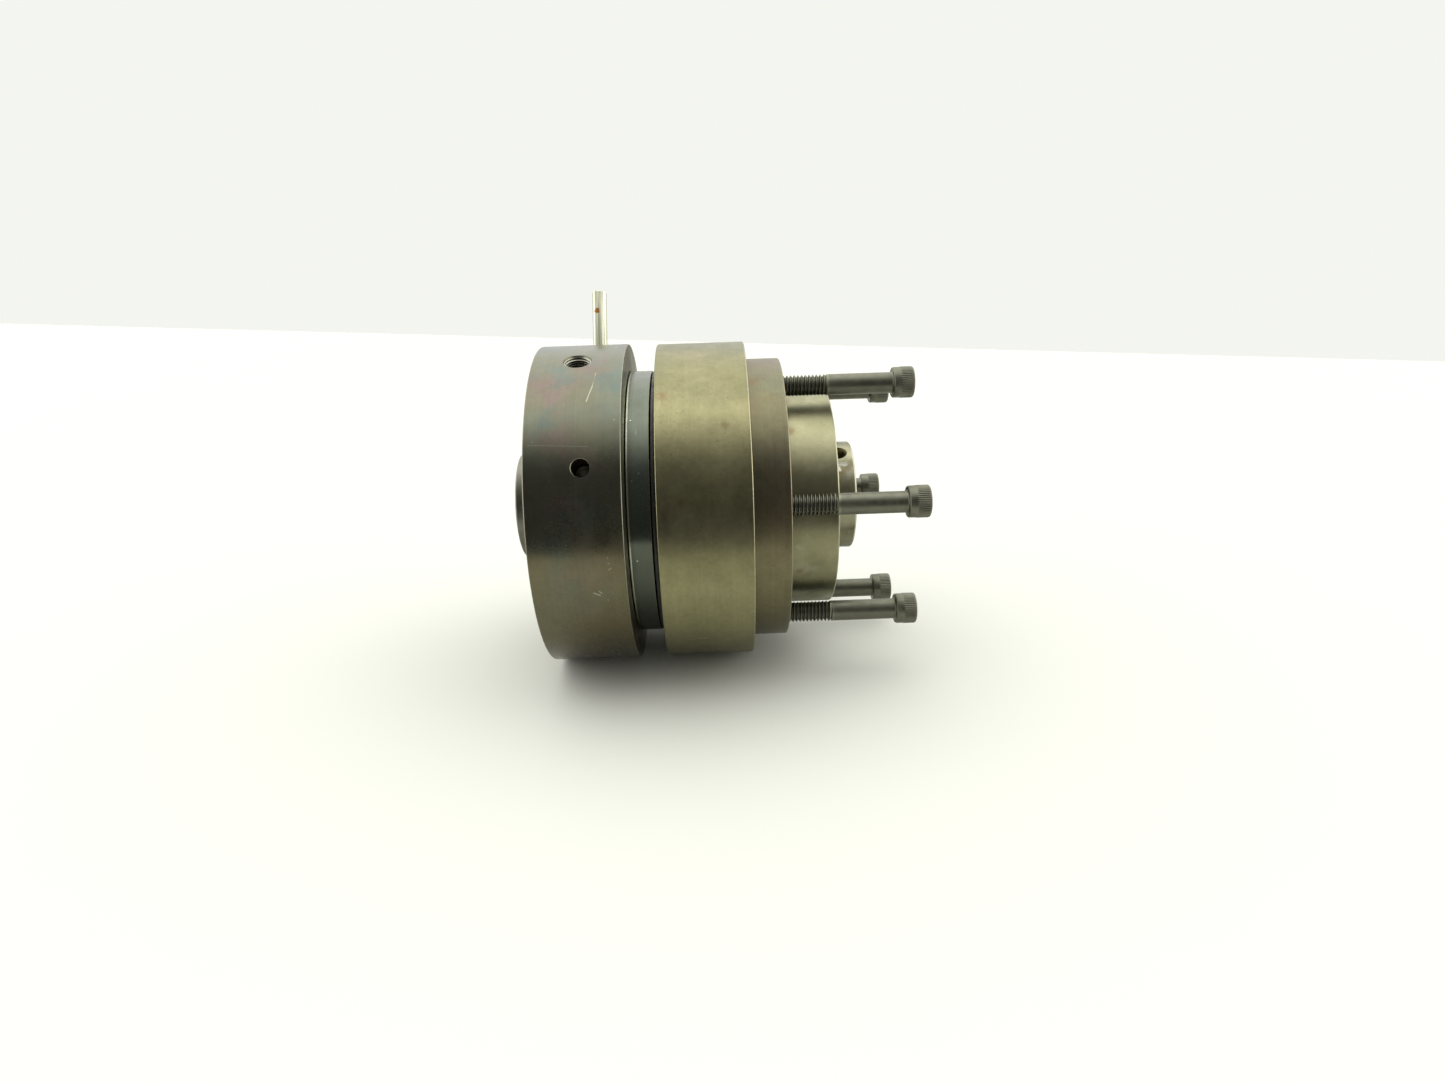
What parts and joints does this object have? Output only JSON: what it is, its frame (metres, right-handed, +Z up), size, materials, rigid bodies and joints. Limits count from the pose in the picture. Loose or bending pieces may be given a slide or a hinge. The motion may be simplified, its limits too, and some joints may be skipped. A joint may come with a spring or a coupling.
{
  "type": "lathe chuck",
  "caption": "Flange-mounted air-operated collet chuck for a lathe: stationary air ring on bearings, cylinder body, back plate with long mounting screws, spindle pilot and draw tube.",
  "frame": {"origin": "centre of the back plate's rear face, on the chuck's axis, where the chuck seats against the spindle's adapter", "axes": "+X along the chuck's axis from the nose towards the spindle, +Z up as the chuck lies with its air port near the top, -Y towards the front"},
  "size_m": [0.1557, 0.128, 0.1469],
  "materials": {
    "body_steel": "worn patina, olive and bronze mottling, bright edges",
    "plate_steel": "brown patina on turned steel",
    "bright_steel": "turned bright steel, yellowed with oil stains",
    "rod_steel": "bright drawn steel with light rust spots",
    "ring_steel": "dark blued steel, rubbed at the edges",
    "collar_steel": "blue-grey turned steel",
    "black_oxide": "black oxide, rubbed bright on the high spots",
    "bearing_steel": "ground bearing steel",
    "bronze": "satin bronze",
    "rubber": "matt black nitrile"
  },
  "bodies": {
    "chuck": {"chuck_body": "body_steel", "back_plate": "plate_steel", "body_screw_1": "black_oxide", "body_screw_2": "black_oxide", "body_screw_3": "black_oxide", "dowel_pin_1": "bearing_steel", "dowel_pin_2": "bearing_steel", "body_seal": "rubber", "spindle_pilot": "bright_steel", "pilot_screw_1": "black_oxide", "pilot_screw_2": "black_oxide", "pilot_screw_3": "black_oxide", "pilot_seal": "rubber", "neck_collar": "collar_steel", "collar_screw_1": "black_oxide", "collar_screw_2": "black_oxide", "collar_screw_3": "black_oxide", "wiper_seal": "rubber", "nose_piece": "ring_steel", "draw_tube_seal": "rubber", "bearing_spacer": "bearing_steel", "front_inner_race": "bearing_steel", "rear_inner_race": "bearing_steel", "bearing_snap_ring": "black_oxide", "return_spring_1": "bearing_steel", "return_spring_2": "bearing_steel", "return_spring_3": "bearing_steel"},
    "air_ring_assembly": {"air_ring": "ring_steel", "front_cover": "ring_steel", "cover_screw_1": "black_oxide", "cover_screw_2": "black_oxide", "cover_screw_3": "black_oxide", "cover_screw_4": "black_oxide", "front_outer_race": "bearing_steel", "rear_outer_race": "bearing_steel", "rear_retaining_ring": "black_oxide", "front_air_seal": "rubber", "rear_air_seal": "rubber"},
    "front_cage": {"front_balls_and_cage": "bronze"},
    "rear_cage": {"rear_balls_and_cage": "bronze"},
    "draw_assembly": {"draw_tube": "bright_steel", "piston": "bronze", "piston_seal": "rubber", "piston_snap_ring": "black_oxide", "collet": "bearing_steel"},
    "anti_rotation_rod": {"anti_rotation_rod": "rod_steel"},
    "mounting_screw_1": {"mounting_screw_1": "black_oxide"},
    "mounting_screw_2": {"mounting_screw_2": "black_oxide"},
    "mounting_screw_3": {"mounting_screw_3": "black_oxide"},
    "mounting_screw_4": {"mounting_screw_4": "black_oxide"},
    "mounting_screw_5": {"mounting_screw_5": "black_oxide"},
    "mounting_screw_6": {"mounting_screw_6": "black_oxide"}
  },
  "joints": [
    {"name": "air_ring_spin", "type": "hinge", "parent": "chuck", "child": "air_ring_assembly", "pos_m": [-0.0768, 0, 0], "axis": [1, 0, 0], "continuous": true},
    {"name": "front_cage_spin", "type": "hinge", "parent": "chuck", "child": "front_cage", "pos_m": [-0.0869, 0, 0], "axis": [1, 0, 0], "continuous": true},
    {"name": "rear_cage_spin", "type": "hinge", "parent": "chuck", "child": "rear_cage", "pos_m": [-0.0667, 0, 0], "axis": [1, 0, 0], "continuous": true},
    {"name": "collet_draw", "type": "slide", "parent": "chuck", "child": "draw_assembly", "axis": [1, 0, 0], "range_m": [0, 0.0024], "stiffness_N_per_m": 4000, "deforming": ["return_spring_1", "return_spring_2", "return_spring_3"]},
    {"name": "rod_pull", "type": "slide", "parent": "air_ring_assembly", "child": "anti_rotation_rod", "axis": [0, 0.4571, 0.8894], "range_m": [0, 0.0125]},
    {"name": "mounting_screw_1_travel", "type": "slide", "parent": "chuck", "child": "mounting_screw_1", "axis": [1, 0, 0], "range_m": [-0.012, 0.0085]},
    {"name": "mounting_screw_2_travel", "type": "slide", "parent": "chuck", "child": "mounting_screw_2", "axis": [1, 0, 0], "range_m": [-0.012, 0.0085]},
    {"name": "mounting_screw_3_travel", "type": "slide", "parent": "chuck", "child": "mounting_screw_3", "axis": [1, 0, 0], "range_m": [-0.012, 0.0085]},
    {"name": "mounting_screw_4_travel", "type": "slide", "parent": "chuck", "child": "mounting_screw_4", "axis": [1, 0, 0], "range_m": [-0.012, 0.0085]},
    {"name": "mounting_screw_5_travel", "type": "slide", "parent": "chuck", "child": "mounting_screw_5", "axis": [1, 0, 0], "range_m": [-0.012, 0.0085]},
    {"name": "mounting_screw_6_travel", "type": "slide", "parent": "chuck", "child": "mounting_screw_6", "axis": [1, 0, 0], "range_m": [-0.012, 0.0085]}
  ],
  "couplings": [
    {"joint": "front_cage_spin", "follows": "air_ring_spin", "ratio": 0.54},
    {"joint": "rear_cage_spin", "follows": "air_ring_spin", "ratio": 0.54}
  ]
}
